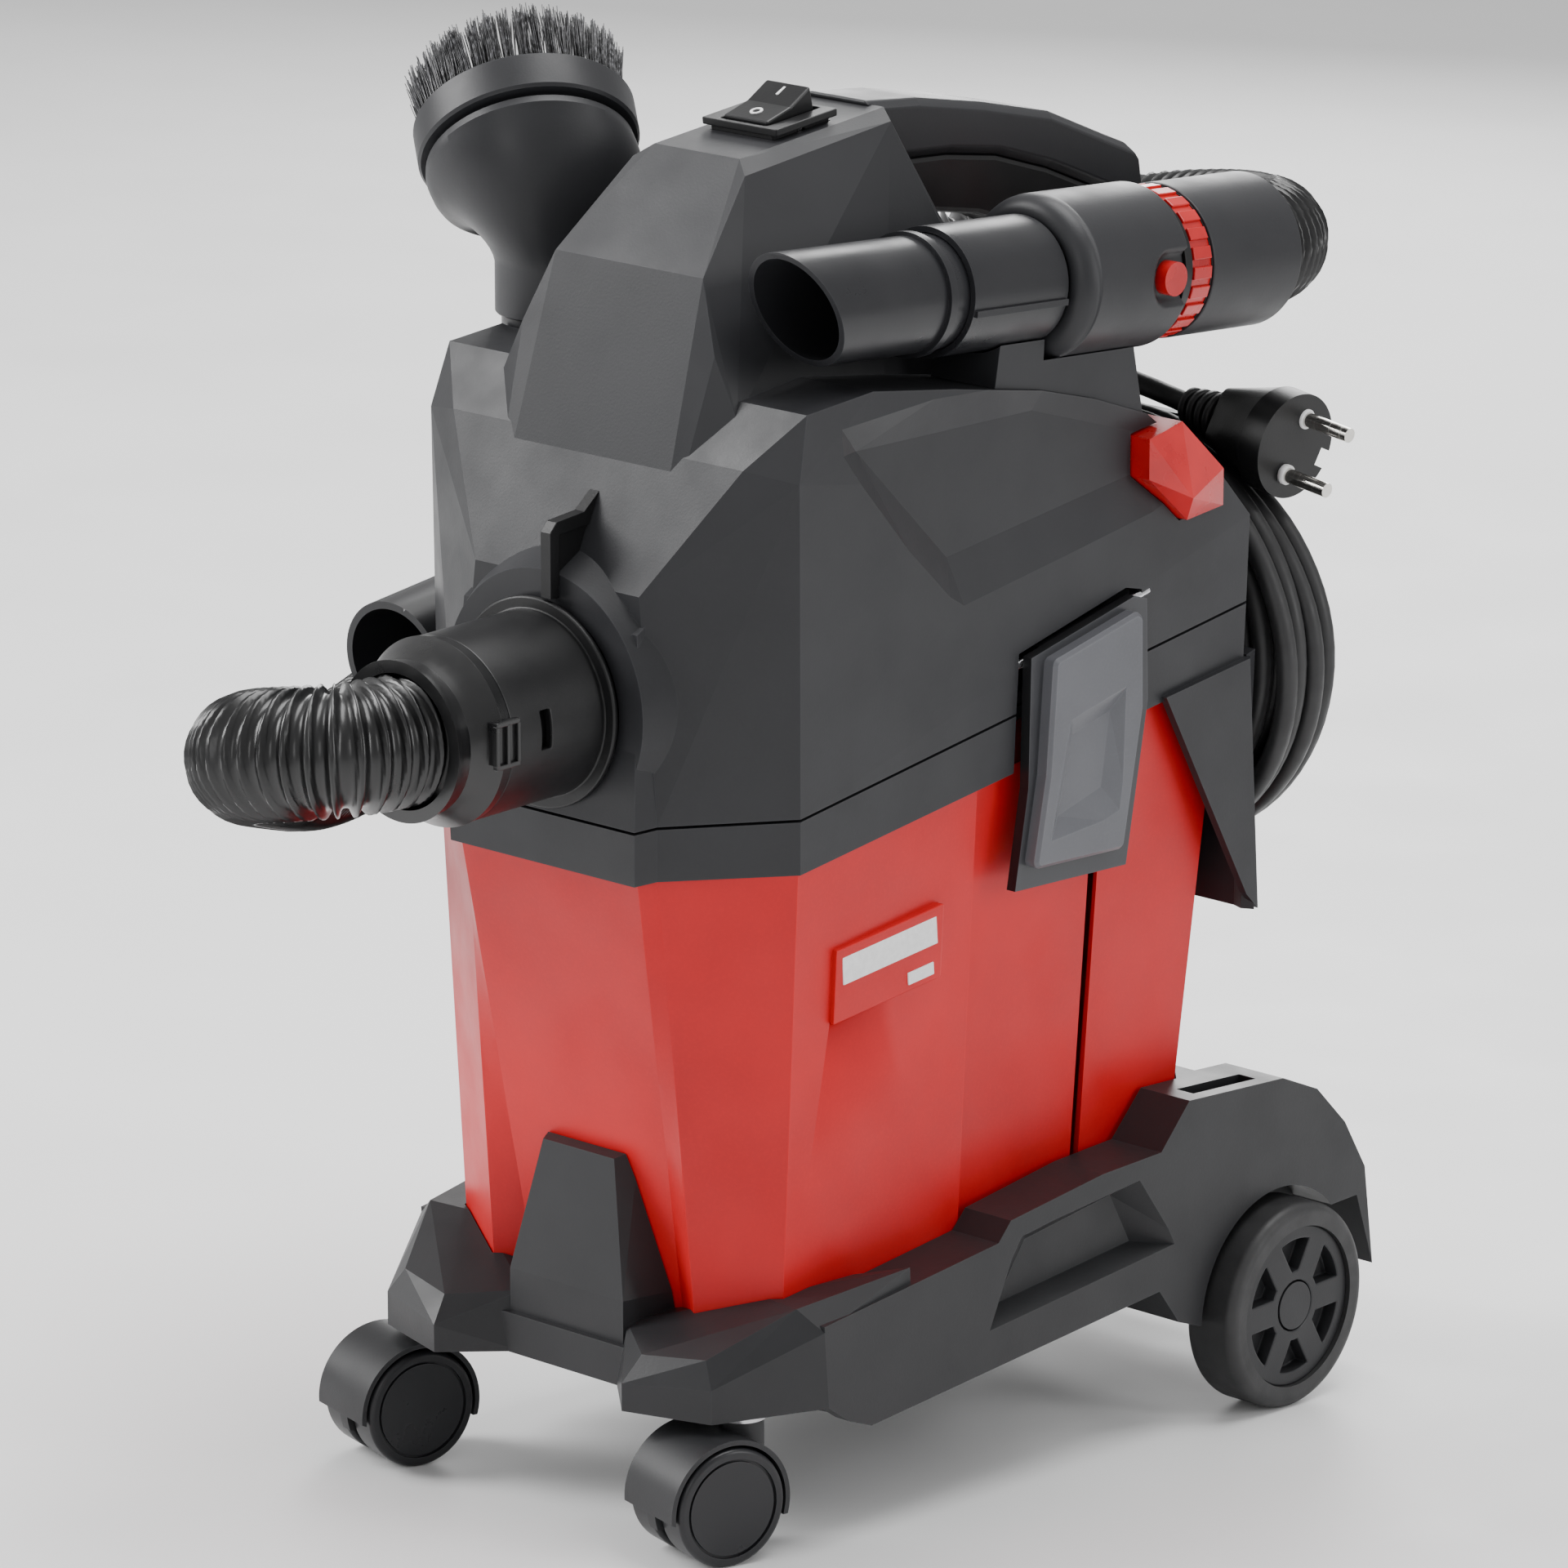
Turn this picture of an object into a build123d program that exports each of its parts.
"""A compact shop vacuum on a four-wheeled trolley, with its hose, tools and mains lead parked on it.

Millimetres. The front (the hose inlet) looks along -Y, the right-hand side is +X, and Z is up from the floor.
Everything is modelled in the body's own frame, about its middle plane X = 0. The body leans forward a little
on its wheels, so export() leans it, and moves it so that the origin lies on the floor under the middle of the
footprint.
"""
from build123d import *
import os
from itertools import combinations
from math import atan2, cos, degrees, radians, sin, tan

# ---- driving dimensions ------------------------------------------------------------------------------

FOOTPRINT_MIDDLE = (-13.710, -21.715)   # middle of the object's plan, cord and hose left out
LEAN = radians(2.8)                   # the body's forward lean

WALL = 2.5                # moulded housings
TANK_WALL = 4
GAP = 0.4                 # between pieces that move past each other
SEAM_GAP = 0.9            # open line between the head's two mouldings
SHAFT_FIT = 0.05          # radial running clearance of a shaft in its bore

BODY_HALF = 76            # half width of the head at its seam
SEAM_FRONT, SEAM_RISE = 243, 0.118     # height of the seam at the shoulder, and its rise to the rear
RIM_FRONT, RIM_RISE = 226, 0.105       # the same for the lower edge of the head's rim
SHOULDER_Y = -112
HEAD_NOSE_Y = -140
REAR_Y = 114

AXLE_Y, AXLE_R = 110, 4
WHEEL_R, WHEEL_FACE, WHEEL_WIDTH, HUB_R = 34.4, 95.5, 20, 27
CASTOR_X, CASTOR_Y, CASTOR_R, CASTOR_TRAIL, CASTOR_YAW = 66, -128, 19, 12.5, -15
CASTOR_WHEEL_WIDTH, CASTOR_WEB = 12, 5
STEM_FOOT = 39
FLOOR_DROP = AXLE_Y * sin(LEAN) + WHEEL_R * (cos(LEAN) - 1)     # sets the rear wheels on the floor
CASTOR_AXLE_Y = CASTOR_Y - CASTOR_TRAIL * cos(radians(CASTOR_YAW))
CASTOR_LIFT = (CASTOR_R + FLOOR_DROP - CASTOR_AXLE_Y * sin(LEAN)) / cos(LEAN) - CASTOR_R
CASTOR_LIFT += CASTOR_WHEEL_WIDTH * 1.13 * abs(sin(radians(CASTOR_YAW))) * sin(LEAN)   # their rims touch first
POD_BASE = 57
DECK_Z = 61
CHASSIS_HALF = 86

INLET_Z, INLET_R, INLET_BORE = 274, 29, 26
INLET_FACE, SOCKET_END, CUFF_END = -138, -188, -207
HOSE_R = 20.5
TUBE_R, TUBE_BORE = 18, 16
SOCKET_DEPTH = 50.754                  # depth of the hand tube's socket for a nozzle, to a small step
TUBE_FRONT = Vector(60, -105, 397)     # mouth of the parked hand tube
TUBE_REAR = Vector(60, 117, 380.2)     # end of the hose collar on the same line

CORD_R = 3.5
COIL_OUTER, COIL_INNER = (79, 76), (57, 54)   # half width and half height of the wound lead
COIL_MIDDLE, COIL_Y = Vector(0, 0, 243), (119, 149)

MOTOR_Y, MOTOR_Z = -10, (265, 322)
MOTOR_R = 44
SHAFT_R = 4


# ---- helpers -----------------------------------------------------------------------------------------

def export(node, shape):
    """Writes one node, leaned and moved from the body's own frame to the object's."""
    os.makedirs("parts", exist_ok=True)
    place = Pos(-FOOTPRINT_MIDDLE[0], -FOOTPRINT_MIDDLE[1], -FLOOR_DROP) * Rot(X=degrees(LEAN))
    export_step(place * shape, "parts/" + node + ".step")


def seam(y):
    """Height of the head's seam."""
    return SEAM_FRONT + SEAM_RISE * (y - SHOULDER_Y)


def rim(y):
    """Height of the lower edge of the head's rim, where the tank begins."""
    return RIM_FRONT + RIM_RISE * (y - SHOULDER_Y)


def both_sides(points):
    """The points, and their mirror images in the middle plane."""
    return [(x, y, z) for x, y, z in points] + [(-x, y, z) for x, y, z in points if x]


def hull(points, tolerance=1e-6):
    """The convex solid whose corners are the given points."""
    corners = [Vector(*p) for p in dict.fromkeys(tuple(p) for p in points)]
    faces = {}
    for a, b, c in combinations(corners, 3):
        normal = (b - a).cross(c - a)
        if normal.length < tolerance:
            continue
        normal = normal.normalized()
        heights = [(p - a).dot(normal) for p in corners]
        if max(heights) > tolerance * 100 and min(heights) < -tolerance * 100:
            continue
        if max(heights) > tolerance * 100:
            normal = -normal
        flat = [p for p, h in zip(corners, heights) if abs(h) <= tolerance * 100]
        faces[frozenset(corners.index(p) for p in flat)] = (normal, flat)
    sides = []
    for normal, flat in faces.values():
        middle = sum(flat, Vector()) * (1 / len(flat))
        across = (flat[0] - middle).normalized()
        along = normal.cross(across)
        ring = sorted(flat, key=lambda p: atan2((p - middle).dot(along), (p - middle).dot(across)))
        sharp = []
        while len(sharp) != len(ring):
            sharp = ring
            ring = [p for k, p in enumerate(sharp)
                    if (p - sharp[k - 1]).cross(sharp[(k + 1) % len(sharp)] - p).dot(normal) > tolerance * 100]
        sides.append(Face(Wire.make_polygon(ring, close=True)))
    return Solid(Shell(sides))


def shrunk(points, wall):
    """The same corners, each moved in by about the wall, for the hollow of a moulding."""
    xs, ys, zs = zip(*points)
    middle = [(max(v) + min(v)) / 2 for v in (xs, ys, zs)]
    half = [(max(v) - min(v)) / 2 for v in (xs, ys, zs)]
    return [tuple(m + (v - m) * (1 - wall / h) for v, m, h in zip(p, middle, half)) for p in points]


def joined(solids):
    """Several solids as one shape."""
    whole = solids[0]
    for solid in solids[1:]:
        whole += solid
    return whole


def outline_solid(lower, upper):
    """The solid between two flat outlines, each given as its right half from front to rear."""
    faces = []
    for half in (lower, upper):
        corners = half + [(-x, y, z) for x, y, z in reversed(half)]
        faces.append(make_face(Polyline(*corners, close=True)))
    return loft(faces, ruled=True)


def rod(start, end, radius):
    """A round bar from one point to another."""
    start, end = Vector(*start), Vector(*end)
    axis = end - start
    plane = Plane(origin=start, z_dir=axis.normalized())
    return extrude(plane * Circle(radius), axis.length)


def pipe(start, end, radius, bore):
    """A round tube from one point to another."""
    start, end = Vector(*start), Vector(*end)
    more = (end - start).normalized() * 0.5
    return rod(start, end, radius) - rod(start - more, end + more, bore)


def along_tube(distance):
    """A point on the parked hand tube's axis, this far from its mouth."""
    return TUBE_FRONT + (TUBE_REAR - TUBE_FRONT).normalized() * distance


def side_prism(outline, x_from, x_to):
    """A prism between two planes of constant X, from (Y, Z) corners."""
    return extrude(Plane.YZ.offset(x_from) * make_face(Polyline(*outline, close=True)), x_to - x_from)


def box(low, high):
    """A block from its lowest corner to its highest."""
    size = [h - l for l, h in zip(low, high)]
    return Pos(*low) * Box(*size, align=(Align.MIN, Align.MIN, Align.MIN))


def mirrored(shape):
    """The same shape on the other side of the middle plane."""
    return mirror(shape, about=Plane.YZ)


# ---- trolley -----------------------------------------------------------------------------------------

def castor_arm():
    """Right-hand front arm: a faceted pod over the castor."""
    return hull([(40, -154, POD_BASE), (69, -145, POD_BASE), (86, -110, POD_BASE), (86, -70, POD_BASE),
                 (20, -100, POD_BASE), (20, -135, POD_BASE),
                 (40, -154, 66), (69, -145, 68), (86, -112, 82), (84, -70, 92), (64, -142, 76),
                 (78, -116, 89), (42, -147, 74), (22, -132, 76), (60, -112, 88), (20, -100, 76)])


def chassis():
    """Trolley moulding: rails beside the tank, front tongue, castor arms and rear wheel humps."""
    profile = [(-110, POD_BASE), (-100, 50), (-90, 46), (50, 53), (60, 40), (78, 33), (90, 60), (152, 60),
               (161, 34), (156, 69), (145, 87), (130, 102), (112, 110), (64, 114), (50, 100), (21, 100),
               (-24, 96), (-30, 90), (-112, 84)]
    body = side_prism(profile, -CHASSIS_HALF, CHASSIS_HALF)
    body += castor_arm() + mirrored(castor_arm())
    body += hull(both_sides([(24, -136, POD_BASE + 8), (24, -136, 84), (15, -130, 127), (18, -122, 129),
                             (30, -112, 84), (30, -112, POD_BASE + 8), (18, -110, 129)]))
    body += hull(both_sides([(30, -138, POD_BASE), (30, -138, 70), (40, -110, 70), (40, -110, POD_BASE)]))
    body -= outline_solid(tank_outline(DECK_Z, GAP), tank_outline(160, GAP))
    body -= box((-62, 96, 74), (62, 170, 120))                       # low bridge behind the tank
    body -= box((-64, -96, 30), (64, 88, DECK_Z - 3))                # open underside
    body -= box((-58, 92, 30), (58, 158, 70))
    for side in (1, -1):
        wheel_arch = rod((side * 70, AXLE_Y, WHEEL_R), (side * 120, AXLE_Y, WHEEL_R), WHEEL_R + 4)
        scoop = hull([(side * 90, -24, 92), (side * 90, 42, 96), (side * 90, 64, 66), (side * 90, -40, 60),
                      (side * 78, -8, 84), (side * 78, 34, 88), (side * 78, 44, 70), (side * 78, -22, 66)])
        slot = box((min(side * 74, side * 81), 72, 98), (max(side * 74, side * 81), 104, 130))
        socket = rod((side * CASTOR_X, CASTOR_Y, 40), (side * CASTOR_X, CASTOR_Y, 70), 5.6)
        arm_hollow = box((min(side * 68, side * 80), -108, 40), (max(side * 68, side * 80), -74, 76))
        body = body - wheel_arch - scoop - slot - socket - arm_hollow
    axle_hole = rod((-100, AXLE_Y, WHEEL_R), (100, AXLE_Y, WHEEL_R), AXLE_R)
    saddle = box((-70, AXLE_Y - 9, 26), (70, AXLE_Y + 9, 62)) - box((-61, 90, 20), (61, 130, 80))
    return body + saddle - axle_hole


def rear_wheels():
    """Axle, tyres, hubs with six windows, and push-on caps."""
    half = WHEEL_FACE - 3
    export("rear_axle", rod((-half, AXLE_Y, WHEEL_R), (half, AXLE_Y, WHEEL_R), AXLE_R))
    caps = []
    for name, side in (("right", 1), ("left", -1)):
        outer, inner = side * WHEEL_FACE, side * (WHEEL_FACE - WHEEL_WIDTH)
        tyre = rod((inner, AXLE_Y, WHEEL_R), (outer, AXLE_Y, WHEEL_R), WHEEL_R)
        tyre = fillet(tyre.edges().filter_by(GeomType.CIRCLE), 3.5)
        tyre -= rod((inner - side, AXLE_Y, WHEEL_R), (outer + side, AXLE_Y, WHEEL_R), HUB_R)
        export("rear_tyre_" + name, tyre)
        export("rear_hub_" + name, wheel_hub(inner + side * 1, outer - side * 1.5, side))
        cap = rod((outer - side * 1.4, AXLE_Y, WHEEL_R), (outer - side * 5, AXLE_Y, WHEEL_R), 8)
        caps.append(cap - rod((outer - side * 3, AXLE_Y, WHEEL_R), (outer - side * 9, AXLE_Y, WHEEL_R), AXLE_R))
    export("axle_caps", joined(caps))


def wheel_hub(inner, outer, side):
    """Hub disc with a rim, a centre boss and six windows between its spokes."""
    hub = rod((inner, AXLE_Y, WHEEL_R), (outer, AXLE_Y, WHEEL_R), HUB_R)
    ring = pipe((outer - side * 5, AXLE_Y, WHEEL_R), (outer + side, AXLE_Y, WHEEL_R), HUB_R - 4.5, 12)
    for k in range(3):
        ring -= Pos(outer, AXLE_Y, WHEEL_R) * Rot(X=30 + 60 * k) * Box(30, 9, 60)
    hub -= ring
    hub -= rod((outer - side * 4, AXLE_Y, WHEEL_R), (outer + side, AXLE_Y, WHEEL_R), 8.5)
    return hub - rod((inner - side, AXLE_Y, WHEEL_R), (outer + side, AXLE_Y, WHEEL_R), AXLE_R + SHAFT_FIT)


def castor(name, side):
    """Twin-wheel castor: plated collar, stem, hood, axle and its two wheels."""
    turn = Pos(side * CASTOR_X, CASTOR_Y, CASTOR_LIFT) * Rot(Z=CASTOR_YAW)
    half = CASTOR_WEB / 2 + CASTOR_WHEEL_WIDTH
    axle_at = (-CASTOR_TRAIL, CASTOR_R)
    hood_r, wheel_gap = CASTOR_R + 2.6, 1.0
    hood = rod((-half + 1, *axle_at), (half - 1, *axle_at), hood_r)
    hood -= rod((-half - 1, *axle_at), (half + 1, *axle_at), CASTOR_R + wheel_gap)
    hood -= box((-40, -60, -10), (40, 30, CASTOR_R - 6))
    hood -= hull([(x, y, z) for x in (-40, 40) for y, z in ((-60, 13), (-60, 30), (-CASTOR_TRAIL - 12, 13))])
    web = rod((-CASTOR_WEB / 2 + 0.3, *axle_at), (CASTOR_WEB / 2 - 0.3, *axle_at), hood_r - 1)
    web &= box((-5, -60, 12), (5, 20, 60))
    base = POD_BASE - CASTOR_LIFT
    hood += web + rod((0, 0, 24), (0, 0, base - 2.4), 7)
    for way in (1, -1):
        hood -= rod((way * (CASTOR_WEB / 2 - 0.3), *axle_at), (way * (half + 3), *axle_at), CASTOR_R + wheel_gap)
    hood -= rod((-half - 3, *axle_at), (half + 3, *axle_at), 3 + SHAFT_FIT)
    hood -= rod((0, 0, STEM_FOOT), (0, 0, STEM_FOOT + 12), 4)
    wheels = rod((-half + 2, *axle_at), (half - 2, *axle_at), 3)
    for way in (1, -1):
        near, far = way * CASTOR_WEB / 2, way * half
        disc = rod((near, *axle_at), (far, *axle_at), CASTOR_R)
        disc = fillet(disc.edges().filter_by(GeomType.CIRCLE), 1.5)
        disc -= rod((far - way * 1.2, *axle_at), (far + way, *axle_at), CASTOR_R - 3)
        wheels += disc + rod((near, *axle_at), (far - way * 0.2, *axle_at), CASTOR_R - 4)
    stem = rod((0, 0, STEM_FOOT), (0, 0, base + 12), 4)
    bore = 4 + SHAFT_FIT
    collar = pipe((0, 0, base - 2), (0, 0, base), 8, bore) + pipe((0, 0, base - 1), (0, 0, base + 10), 5.6, bore)
    export("castor_hood_" + name, turn * hood)
    export("castor_stem_" + name, turn * stem)
    export("castor_wheels_" + name, turn * wheels)
    export("castor_collar_" + name, turn * collar)


# ---- tank --------------------------------------------------------------------------------------------

def tank_outline(z, grow=0.0):
    """Corners of the tank's plan at one height: it tapers downwards, more at the front."""
    k = (z - DECK_Z) / (RIM_FRONT - DECK_Z)
    half = [(31 + 6 * k, -114 - 29 * k), (43 - 3 * k, -122 - 15 * k), (66 + 9 * k, -110 - 2 * k),
            (65 + 8 * k, -26), (62 + 9 * k, 78 + 14 * k), (50 + 8 * k, 92 + 14 * k)]
    return [(x + grow, y + (grow if y > 0 else -grow), z) for x, y in half]


def tank_solid(grow, floor):
    """The tank's block between its floor and the sloping edge under the head's rim."""
    block = outline_solid(tank_outline(floor, grow), tank_outline(262, grow))
    slope = [(x, y, z) for x in (-120, 120) for y, z in
             ((-200, rim(-200)), (160, rim(160)), (160, 400), (-200, 400))]
    return block - hull(slope)


def tank():
    """Red dirt tank: faceted shell with a step and a groove down each side."""
    shell = tank_solid(0, DECK_Z)
    for side in (1, -1):
        step = hull([(side * x, y, z) for x, y, z in
                     ((74 + 12, -27, 300), (74 + 12, 140, 300), (72.5, -27, 300), (72.5, 140, 300),
                      (66 + 12, -27, 40), (66 + 12, 140, 40), (60.5, -27, 40), (60.5, 140, 40))])
        groove = hull([(side * x, y, z) for y, z, x in
                       [(y, z, x) for y, z, deep in ((37, 300, 68), (42, 300, 68), (30, 40, 56), (34, 40, 56))
                        for x in (deep, deep + 30)]])
        shell = shell - step - groove
    return shell - tank_solid(-TANK_WALL, DECK_Z + TANK_WALL) - tank_badge()


def tank_badge():
    """Plain raised plate on the tank's right-hand wall, where a maker would put a name."""
    return hull([(x, y, z) for y, z, x in
                 ((-94, 198, 74.9), (-44, 202, 74.9), (-44, 178, 73.6), (-94, 174, 73.6),
                  (-94, 198, 71.5), (-44, 202, 71.5), (-44, 178, 71.5), (-94, 174, 71.5))])


# ---- head --------------------------------------------------------------------------------------------

def head_outline(height, grow=0.0):
    """Corners of the head's plan, each at the given height for its own Y."""
    half = [(39, -146), (42, -139), (BODY_HALF, SHOULDER_Y), (74, 104), (64, REAR_Y)]
    grown = [(x + grow, y + (grow if y > 0 else -grow)) for x, y in half]
    return [(x, y, height(y)) for x, y in grown]


def head_base():
    """Rim around the top of the tank, its motor floor, and the skirt behind that carries the lead."""
    base = outline_solid(head_outline(rim, -0.5), head_outline(seam))
    base -= outline_solid(head_outline(lambda y: rim(y) - 5, -WALL - 0.8),
                          head_outline(lambda y: seam(y) - 4, -WALL - 0.8))
    base += rod((0, MOTOR_Y, 249), (0, MOTOR_Y, MOTOR_Z[0] - 3.5), MOTOR_R)
    base -= rod((0, MOTOR_Y, 200), (0, MOTOR_Y, 300), 34)
    skirt = hull([(x, y, z) for x in (-70, 70) for y, z in
                  ((109.6, rim(104) + 1), (REAR_Y, rim(REAR_Y) + 1), (107.5, 166), (109.5, 166))])
    base += skirt
    base += box((-16, 109, 191.6), (16, 152, 197)) + box((-16, COIL_Y[1] + 0.6, 168), (16, COIL_Y[1] + 4, 197))
    for side in (1, -1):
        base += hull([(side * x, y, z) for x in (73.2, 76) for y, z in
                      ((62, rim(62) + 2), (104, rim(104) + 2), (110, 166), (104, 172), (82, 226))])
        base += hull([(side * x, y, z) for x, y, z in
                      ((76, 104, rim(104)), (73, 104, rim(104)), (68, 109.6, rim(109)), (68, REAR_Y, rim(109)),
                       (76, 108, 166), (72, 106, 166), (68, 107.5, 166), (68, 109.5, 166))])
    return base - inlet_room() - latch_rooms()


def head_block():
    """Corners of the lower part of the head cover, from the seam to the ledges."""
    tops = [(48.6, -110, 363), (60, -120, 351), (76.5, -113, 348), (74, -107, 368), (74, -77, 370),
            (74, -39, 364), (74, 3, 356), (74, 28, 349), (74, 53, 340), (75, 90, 313), (75, 104, 298),
            (64, REAR_Y, 296), (34, -138, 311), (40, 96, 318)]
    return both_sides([p for p in head_outline(lambda y: seam(y) + SEAM_GAP) if p[1] > HEAD_NOSE_Y] + tops)


def head_nose():
    """The narrow strip that stands proud at the front of the head, around the inlet."""
    return hull(both_sides([(39, -146, seam(-146) + SEAM_GAP), (42, -139, seam(-139) + SEAM_GAP),
                            (30, -120, seam(-120) + SEAM_GAP),
                            (36, -141, 300), (36, -134, 304), (30, -120, 300)]))


def tower_points():
    """Corners of the tower that carries the switch and the front of the handle."""
    return both_sides([(17.5, -74.3, 433), (23, -78, 429), (24, -12, 436), (17.5, -8, 439), (25.8, -87, 419),
                       (30.4, -105, 403), (39.5, -110, 381), (48.6, -110, 363), (48.6, -104, 350),
                       (32, -52, 395), (30, -22, 398), (46, -40, 358), (39, 34, 345), (16, 24, 395),
                       (34, -136, 300)])


def head_cover():
    """Upper housing: shoulders, tower, side scoops and ledges, hollow inside."""
    cover = hull(head_block()) + hull(tower_points())
    cover += cone_boss() + head_nose()
    hollow = hull(shrunk(head_block(), 5)) + hull([(x, y, z + 2) for x, y, z in shrunk(tower_points(), 5)])
    below = outline_solid(head_outline(lambda y: seam(y) - 6, -5), head_outline(lambda y: seam(y) + 20, -5))
    cover = cover - hollow - below
    for side in (1, -1):
        outer = [(-107, 374), (-103, 354), (-88, 346), (-46, 289), (-33, 281), (50, 291), (94, 303), (90, 345),
                 (20, 385)]
        inner = [(-82, 352), (-40, 311), (58, 322), (54, 333), (0, 350)]
        cover -= hull([(side * 80, y, z) for y, z in outer] + [(side * 71.5, y, z) for y, z in inner])
    cover += box((-24, 110, 285), (8, 152, 290)) + box((-24, COIL_Y[1] + 0.6, 285), (8, COIL_Y[1] + 4, 312))
    button_well = hull(clean_button_points(0.7, 6))
    cover = cover - latch_pin(0) - mirrored(latch_pin(0))
    return cover - button_well - inlet_room() - latch_rooms() - switch_room() - tool_post_room()


def cone_boss():
    """The swelling around the inlet on the front of the head."""
    plane = Plane(origin=(0, -112, INLET_Z), x_dir=(1, 0, 0), z_dir=(0, -1, 0))
    swelling = loft([plane * Circle(58), plane.offset(-INLET_FACE - 112 + 6) * Circle(41)], ruled=True)
    over_seam = hull([(x, y, z) for x in (-120, 120) for y, z in
                      ((-200, seam(-200) + SEAM_GAP), (60, seam(60) + SEAM_GAP), (60, 500), (-200, 500))])
    return swelling & over_seam


def inlet_room():
    """Room for the inlet port's pipe through the front of the head."""
    return rod((0, -60, INLET_Z), (0, -220, INLET_Z), INLET_R + 2.2)


def latch_outline(grow):
    """Corners of the latch seen from the side, as (Y, Z)."""
    return [(-5 - grow, 272 + grow * 0.6), (42, 281 + grow), (45 + grow, 279 + grow), (46 + grow, 249),
            (36 + grow, 200 - grow), (-12 - grow, 203 - grow), (-6 - grow, 232)]


LATCH_PLATE = [(-2, 272.5), (38, 280.5), (41, 278.5), (41.5, 249), (32.5, 204.5), (-11, 207), (-5, 236)]


def latch_rooms():
    """Recesses for the two latches."""
    right = side_prism(latch_outline(5), 70, 100)
    return right + mirrored(right)


LATCH_PIN_X = 73.8


def latch_pin_z(y):
    """Height of the latch's hinge line."""
    return 272.6 + 0.19 * y


def latch_pin(grow):
    """Right-hand latch's hinge pin; its ends are held in the head cover."""
    return rod((LATCH_PIN_X, -14, latch_pin_z(-14)), (LATCH_PIN_X, 54, latch_pin_z(54)), 1.5 + grow)


def latches():
    """Side latches: a dished plate in a dark frame, hinged on a pin near its top."""
    for name, side in (("right", 1), ("left", -1)):
        frame = side_prism(latch_outline(3), 75.5, 79)
        plate = fillet(side_prism(LATCH_PLATE, 79, 84).edges().filter_by(Axis.X), 2.5)
        plate = chamfer(plate.faces().sort_by(Axis.X)[-1].edges(), 1.2)
        dish = hull([(86, 3, 256), (86, 35, 262), (86, 33, 213), (86, -8, 211),
                     (80.8, 10, 246), (80.8, 28, 250), (80.8, 24, 226), (80.8, 3, 221)])
        knuckle = rod((LATCH_PIN_X, 1, latch_pin_z(1)), (LATCH_PIN_X, 38, latch_pin_z(38)), 2.6)
        latch = frame + plate - dish + knuckle - latch_pin(SHAFT_FIT)
        export("latch_" + name, latch if side > 0 else mirrored(latch))
    export("latch_pins", latch_pin(0) + mirrored(latch_pin(0)))


def switch_room():
    """Opening for the switch in the tower's top."""
    return switch_plane() * Box(26.4, 26.4, 30)


def switch_plane():
    """Where the switch sits: the middle of the tower's top, tilted with it."""
    return Plane(origin=(0, -41, 437.6), x_dir=(1, 0, 0), z_dir=(0, -0.09, 1))


def switch():
    """Rocker switch in its bezel."""
    place = switch_plane()
    bezel = place * (Pos(Z=1.2) * Box(31, 28, 2.4))
    bezel += place * (Pos(Z=-8) * Box(25.8, 25.8, 18))
    bezel -= place * (Pos(Z=-4) * Box(19.2, 24.2, 22))
    rocker_face = [(-11, 1.5), (-11, 3.2), (0, 5.2), (9.4, 9.4), (10.6, 1.5), (4, -8), (-4, -8)]
    rocker = extrude(Plane.YZ.offset(-9) * make_face(Polyline(*rocker_face, close=True)), 18)
    pin = rod((-12, 0, -2), (12, 0, -2), 1.5)
    export("switch_bezel", bezel - place * rod((-13, 0, -2), (13, 0, -2), 1.5))
    export("switch_rocker", place * (rocker - rod((-12, 0, -2), (12, 0, -2), 1.5 + SHAFT_FIT)))
    export("switch_pin", place * pin)


def handle():
    """Carry handle in two halves, from the tower to the rear of the head."""
    top = [(-10, 440.5), (14, 438), (45, 432), (78, 424), (104, 413), (116, 408), (121, 402), (123, 391)]
    split = [(123, 387), (108, 393), (77, 406), (52, 414), (28, 418), (1, 420), (-10, 420)]
    under = [(-2, 404), (18, 401), (44, 396), (62, 390), (80, 382), (88, 374), (88, 350), (88, 300), (116, 300),
             (118, 366)]
    upper = side_prism(top + split, -14, 14)
    lower = side_prism(list(reversed(split)) + under[::-1], -12.5, 12.5)
    lower = lower & hull([(x, y, z) for x, y in ((14, -20), (14, 140), (-14, -20), (-14, 140)) for z in (368, 430)]
                         + [(x, y, z) for x in (-10, 10) for y in (60, 120) for z in (296, 352)])
    upper = chamfer(upper.edges().filter_by(lambda e: e.center().Z > 398 and abs(abs(e.center().X) - 14) < 0.1
                                            and -9 < e.center().Y < 118), 2.5)
    room = hull(tower_points())
    block = hull(head_block())
    return upper - room, lower - room - block


def clean_button_points(grow=0.0, deeper=0.0):
    """Corners of the red filter-cleaning button's cap, grown about its middle and lengthened inwards."""
    middle_y, middle_z, half = 68, 318, 14
    face = [(49, 333), (65, 336), (86, 317), (86, 305), (68, 303.5), (49, 320)]
    wide = [(middle_y + (y - middle_y) * (1 + grow / half), middle_z + (z - middle_z) * (1 + grow / half))
            for y, z in face]
    return [(x, y, z) for x in (78.5 + grow, 62 - deeper) for y, z in wide] + [(85 + grow, 63, 312.5)]


BUTTON_STEM = (74, 310.6)


def filter_cleaner():
    """Red push button for the filter flap, with its return spring."""
    cap = hull(clean_button_points())
    stem = rod((45, *BUTTON_STEM), (62, *BUTTON_STEM), 3)
    spring = pipe((49, *BUTTON_STEM), (62, *BUTTON_STEM), 5, 3.8)
    guide = box((46, 58, 288), (49, 90, 332)) & hull(shrunk(head_block(), 5))
    guide -= rod((40, *BUTTON_STEM), (60, *BUTTON_STEM), 3 + SHAFT_FIT)
    export("clean_button", cap + stem)
    export("button_spring", spring)
    export("button_guide", guide)


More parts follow.
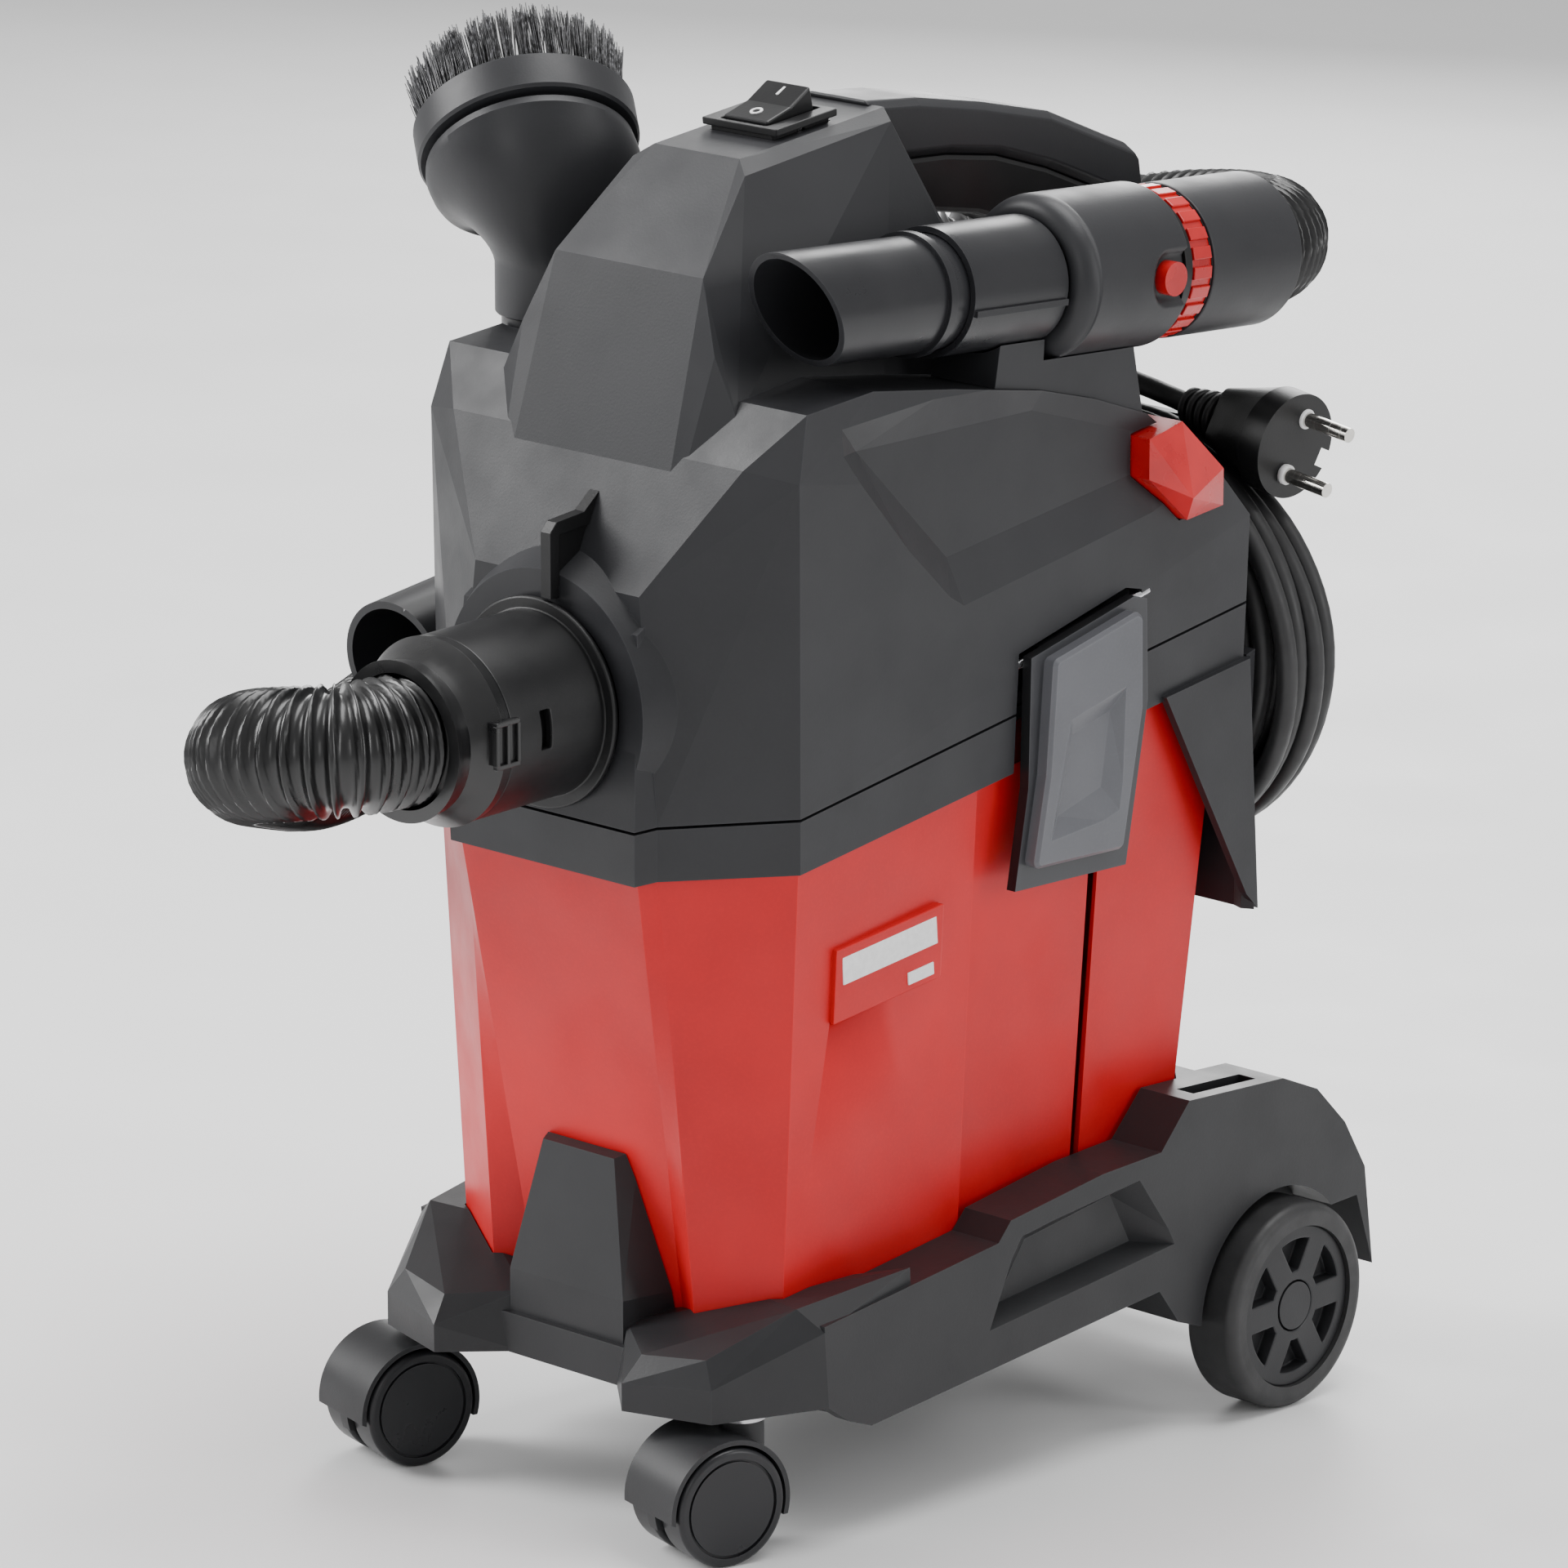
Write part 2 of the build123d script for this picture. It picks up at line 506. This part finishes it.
def tool_post_room():
    """Room for the foot of the spare tube that carries the brush."""
    return rod(BRUSH_FOOT, BRUSH_NECK, TUBE_R + 1)


# ---- inlet and hose ----------------------------------------------------------------------------------

def inlet_port():
    """Inlet pipe with a flange on the head's front and two catch windows for the hose cuff."""
    port = pipe((0, SOCKET_END, INLET_Z), (0, -90, INLET_Z), INLET_R, INLET_BORE)
    port += pipe((0, -148, INLET_Z), (0, -146.1, INLET_Z), 33, INLET_R - 1)
    for side in (1, -1):
        port -= Pos(side * INLET_R, SOCKET_END + 15, INLET_Z + 2) * Box(9, 4, 12)
    return port


def front_hook():
    """Small tab on a stem above the inlet, which keeps a parked accessory."""
    tab = side_prism([(-148, 307.4), (-148, 328), (-145, 331), (-133, 332), (-124, 339), (-122, 330), (-124, 316),
                      (-132, 311), (-144.2, 311), (-144.2, 307.4)], 3, 7)
    tab -= side_prism([(-144, 313), (-144, 327), (-128, 328), (-126, 317), (-132, 313)], 6, 8)
    return tab - hull(head_block()) - cone_boss()


def hose_cuff():
    """Glossy end piece of the hose, with a snap window on each side."""
    stations = [(SOCKET_END + 18, 25.6), (SOCKET_END, 25.6), (SOCKET_END - 0.2, 29), (SOCKET_END - 4, 29.4),
                (SOCKET_END - 10, 25.5), (SOCKET_END - 13, 24), (CUFF_END + 2, 24.5), (CUFF_END, 25),
                (CUFF_END, 21), (SOCKET_END + 18, 21)]
    ring = make_face(Polyline(*[Vector(0, y, INLET_Z + r) for y, r in stations], close=True))
    cuff = revolve(ring, Axis((0, 0, INLET_Z), (0, 1, 0)))
    for side in (1, -1):
        cuff += Pos(side * 28.5, SOCKET_END - 4, INLET_Z + 2) * Box(4, 8, 13)
    return cuff


def hose_route():
    """Route of the hose's middle line, from the cuff round the left side to the collar."""
    return [Vector(0, CUFF_END + 19, INLET_Z), Vector(0, -216, INLET_Z), Vector(-20, -233, 272),
            Vector(-46, -230, 266), Vector(-80, -186, 248), Vector(-140, -98, 215), Vector(-152, -30, 229),
            Vector(-145, 25, 275), Vector(-105, 68, 337), Vector(-46, 98, 360), Vector(-40, 128, 361),
            Vector(-12, 157, 368), Vector(30, 157, 375), along_tube(241), along_tube(196)]


def rounded_path(points):
    """The route with every corner rounded as far as its two runs allow. Prints the radii."""
    radii = []
    for before, at, after in zip(points, points[1:], points[2:]):
        turn = radians((at - before).get_angle(after - at))
        shorter = min((at - before).length, (after - at).length)
        radii.append(0.45 * shorter / tan(turn / 2))
    print("radii", [round(r) for r in radii])
    return FilletPolyline(*points, radius=radii)


def round_cord(points, radius):
    """A cord of round section along a route. Prints its length and how true its volume is."""
    path = rounded_path(points)
    cord = sweep(Plane(origin=points[0], z_dir=points[1] - points[0]) * Circle(radius), path=path)
    expected = path.length * 3.14159265 * radius ** 2
    print("length", round(path.length), "volume ratio", round(cord.volume / expected, 4))
    return cord


def hand_tube_set():
    """Parked hand tube: tube, air slider, adapter with its red ring and buttons, and the hose collar."""
    tube = pipe(along_tube(0), along_tube(118), TUBE_R, TUBE_BORE - 0.6)
    tube -= rod(along_tube(-1), along_tube(SOCKET_DEPTH), TUBE_BORE)
    tube += pipe(along_tube(58), along_tube(61), TUBE_R + 1.4, TUBE_BORE)
    tube -= hull([(x, y, z) for x in (35, 85) for y, z in                # slanted mouth
                  ((-140, 420), (-106, 420), (-86, 372), (-140, 372))])
    slider = pipe(along_tube(68), along_tube(112), TUBE_R + 2.2, TUBE_R + 0.3)
    rib = Plane(origin=along_tube(90), x_dir=(1, 0, 0), z_dir=TUBE_REAR - TUBE_FRONT) * (Pos(19.5, 4) * Box(3, 2, 43))
    slider += rib - rod(along_tube(60), along_tube(120), TUBE_R + 0.3)
    body = pipe(along_tube(114), along_tube(168), 26, 22) + pipe(along_tube(114), along_tube(118), 26, TUBE_R)
    body = body - pipe(along_tube(113), along_tube(116), 30, 24)
    room = Plane(origin=along_tube(156), x_dir=(1, 0, 0), z_dir=TUBE_REAR - TUBE_FRONT)
    for side in (1, -1):
        body -= room * (Pos(side * 24, 0, 0) * Cylinder(6.4, 12, rotation=(0, 90, 0)))
    ring = pipe(along_tube(164.5), along_tube(182), 23.4, 19.5)
    ring -= pipe(along_tube(164), along_tube(168.3), 30, 21.6)
    collar = pipe(along_tube(178), along_tube(222), 24.6, 23.6) + pipe(along_tube(182.3), along_tube(222), 24, HOSE_R)
    buttons = {}
    for name, side in (("outer", 1), ("inner", -1)):
        buttons[name] = room * (Pos(side * 24.6, 0, 0) * Cylinder(5.4, 5, rotation=(0, 90, 0)))
    return tube, slider, body, ring, collar, buttons


def saddle():
    """Wedge on the right-hand ledge that carries the hand tube."""
    wedge = hull([(x, y, z) for x in (46, 72) for y, z in ((-20, 350), (-14, 382), (46, 374), (54, 336))])
    wedge = wedge - rod(along_tube(-5), along_tube(240), TUBE_R + 2.8)
    wedge -= rod(along_tube(112), along_tube(170), 26.4)
    return wedge - hull(head_block()) - hull(tower_points())


# ---- brush and crevice nozzle ------------------------------------------------------------------------

BRUSH_FOOT = (-66, -66, 300)
BRUSH_NECK = (-66, -66, 402)
BRUSH_MIDDLE = Vector(-83, -62, 424)
BRUSH_WAY = Vector(-0.60, 0.43, 0.675).normalized()
BRUSH_R = 35


def brush():
    """Round dusting brush on the spare tube."""
    face = Plane(origin=BRUSH_MIDDLE, x_dir=(0, 1, 0), z_dir=BRUSH_WAY)
    foot = Plane(origin=BRUSH_NECK, z_dir=(0, 0, 1))
    neck = loft([face.offset(-6) * Circle(BRUSH_R - 4), foot.offset(-14) * Circle(20)])
    body = neck + extrude(face.offset(-9) * Circle(BRUSH_R), 16)
    body = body + rod((-66, -66, 372), BRUSH_NECK, 20)
    body -= rod((-66, -66, 360), (-66, -66, 398), TUBE_R + 0.4)
    body -= extrude(face.offset(-1) * Circle(24), 20)
    body -= extrude(face.offset(1) * Circle(BRUSH_R - 3), 20)
    bristles = extrude(face.offset(-0.8) * (Circle(BRUSH_R - 4) - Circle(25)), 26)
    return body - extrude(face.offset(-1) * (Circle(BRUSH_R - 3.6) - Circle(24.6)), 3), bristles


NOZZLE_MOUTH = Vector(-98, -109, 261)
NOZZLE_TIP = Vector(-104, 80, 279)


def crevice_nozzle():
    """Crevice nozzle parked along the left side: round socket in front, flat tip behind."""
    way = (NOZZLE_TIP - NOZZLE_MOUTH).normalized()
    mouth = Plane(origin=NOZZLE_MOUTH, x_dir=(1, 0, 0), z_dir=way)
    body = rod(NOZZLE_MOUTH, NOZZLE_MOUTH + way * 45, 20)
    body += loft([mouth.offset(45) * Circle(20), mouth.offset(80) * RectangleRounded(16, 30, 4)])
    body += extrude(mouth.offset(80) * RectangleRounded(16, 30, 4), 105)
    bore = rod(NOZZLE_MOUTH - way, NOZZLE_MOUTH + way * 40, 17.6)
    bore += loft([mouth.offset(40) * Circle(17.6), mouth.offset(80) * RectangleRounded(12, 26, 3)])
    bore += extrude(mouth.offset(80) * RectangleRounded(12, 26, 3), 120)
    return body - bore


# ---- mains lead --------------------------------------------------------------------------------------

PLUG_FACE = Vector(62, 143, 311)
PLUG_WAY = Vector(0.99, -0.07, -0.12).normalized()
PIN_WAY = Vector(-0.074, -0.416, -0.906)


def lead_coil():
    """Outer shape of the wound lead: an oval ring behind the head."""
    plane = Plane(origin=(0, COIL_Y[0], COIL_MIDDLE.Z), x_dir=(1, 0, 0), z_dir=(0, 1, 0))
    ring = extrude(plane * (Ellipse(*COIL_OUTER) - Ellipse(*COIL_INNER)), COIL_Y[1] - COIL_Y[0])
    ring -= rod(PLUG_FACE - PLUG_WAY * 90, PLUG_FACE - PLUG_WAY * 44, 4.5)
    return ring - rod(PLUG_FACE - PLUG_WAY * 48, PLUG_FACE + PLUG_WAY * 22, 18)


def lead_routes():
    """Routes of the lead's two free stretches: from its gland to the coil, and from the coil to the plug."""
    to_coil = [Vector(29, 124, 250), Vector(12, 141, 250), Vector(-22, 143, 247), Vector(-55.6, 134, 243)]
    to_plug = [Vector(-57, 137, 303), Vector(-33, 143, 325), PLUG_FACE - PLUG_WAY * 70, PLUG_FACE - PLUG_WAY * 44]
    return to_coil, to_plug


def cord_gland():
    """Block and tapered sleeve where the lead leaves the back of the head."""
    way = Vector(-1, 1, 0).normalized()
    start, leaves = Vector(34, 119, 250), lead_routes()[0][0]
    plane = Plane(origin=start, z_dir=way)
    gland = box((25, 114, 241), (45, 120, 259)) + loft([plane * Circle(6.5), plane.offset(16) * Circle(4.8)])
    return gland - rod(leaves, leaves + way * 20, CORD_R)


def plug():
    """Two-pin contour plug, with its strain relief."""
    face = Plane(origin=PLUG_FACE, x_dir=PIN_WAY, z_dir=PLUG_WAY)
    body = extrude(face.offset(-9) * Circle(17.5), 9)
    body += loft([face.offset(-9) * Circle(17.3), face.offset(-30) * RectangleRounded(20, 16, 4)])
    body += loft([face.offset(-30) * Circle(7.5), face.offset(-47) * Circle(5)])
    body -= face.offset(-6) * (Pos(0, 17) * Box(6, 8, 13))
    pins = []
    for side in (1, -1):
        start = face.from_local_coords((side * 9.5, 0, 0))
        body -= rod(start - PLUG_WAY * 5, start + PLUG_WAY, 2.4)
        pins.append(rod(start - PLUG_WAY * 5, start + PLUG_WAY * 19, 2.4))
    body -= rod(PLUG_FACE - PLUG_WAY * 47.5, PLUG_FACE - PLUG_WAY * 40, CORD_R)
    return body, joined(pins)


# ---- inside ------------------------------------------------------------------------------------------

def motor():
    """Motor housing, rotor with its shaft, impeller and the rubber ring that seals it."""
    bottom, top = MOTOR_Z
    housing = pipe((0, MOTOR_Y, bottom), (0, MOTOR_Y, top), MOTOR_R, MOTOR_R - 3)
    housing += pipe((0, MOTOR_Y, top), (0, MOTOR_Y, top + 3), MOTOR_R, SHAFT_R + SHAFT_FIT)
    housing += pipe((0, MOTOR_Y, bottom), (0, MOTOR_Y, bottom + 3), MOTOR_R, SHAFT_R + SHAFT_FIT)
    rotor = rod((0, MOTOR_Y, 250), (0, MOTOR_Y, top + 4), SHAFT_R)
    rotor += rod((0, MOTOR_Y, bottom + 14), (0, MOTOR_Y, top - 16), 26)
    impeller = pipe((0, MOTOR_Y, 253), (0, MOTOR_Y, 262), 32, SHAFT_R)
    export("motor_housing", housing)
    export("motor_rotor", rotor)
    export("impeller", impeller)
    export("motor_seal", pipe((0, MOTOR_Y, bottom - 3.5), (0, MOTOR_Y, bottom), 43, 34))


def filter_set():
    """Filter cage under the motor floor and the pleated cartridge around it."""
    cage = pipe((0, MOTOR_Y, 150), (0, MOTOR_Y, 250), 30, 28) + rod((0, MOTOR_Y, 148), (0, MOTOR_Y, 150), 30)
    cage += pipe((0, MOTOR_Y, 244), (0, MOTOR_Y, 250), 33.9, 28)
    for k in range(6):
        for z in (160, 178, 196):
            cage -= Pos(0, MOTOR_Y, z + 6) * Rot(Z=30 * k) * Box(70, 10, 12)
    export("filter_cage", cage)
    export("filter_cartridge", pipe((0, MOTOR_Y, 150), (0, MOTOR_Y, 231), 46, 30.3))


# ---- the whole object --------------------------------------------------------------------------------

def main():
    export("chassis", chassis())
    rear_wheels()
    castor("right", 1)
    castor("left", -1)
    export("tank", tank())
    export("tank_badge", tank_badge())
    export("head_base", head_base())
    export("head_cover", head_cover())
    latches()
    switch()
    upper, lower = handle()
    export("handle_upper", upper)
    export("handle_lower", lower)
    filter_cleaner()
    export("inlet_port", inlet_port())
    export("front_hook", front_hook())
    export("hose_cuff", hose_cuff())
    export("hose", round_cord(hose_route(), HOSE_R))
    tube, slider, body, ring, collar, buttons = hand_tube_set()
    export("hand_tube", tube)
    export("air_slider", slider)
    export("adapter_body", body)
    export("adapter_ring", ring)
    export("hose_collar", collar)
    export("release_button_outer", buttons["outer"])
    export("release_button_inner", buttons["inner"])
    export("tube_saddle", saddle())
    brush_body, bristles = brush()
    export("brush_body", brush_body)
    export("brush_bristles", bristles)
    export("brush_tube", pipe(BRUSH_FOOT, (-66, -66, 398), TUBE_R, TUBE_BORE))
    export("crevice_nozzle", crevice_nozzle())
    export("lead_coil", lead_coil())
    to_coil, to_plug = lead_routes()
    export("lead_from_gland", round_cord(to_coil, CORD_R))
    export("lead_to_plug", round_cord(to_plug, CORD_R))
    export("cord_gland", cord_gland())
    plug_body, pins = plug()
    export("plug_body", plug_body)
    export("plug_pins", pins)
    motor()
    filter_set()


main()
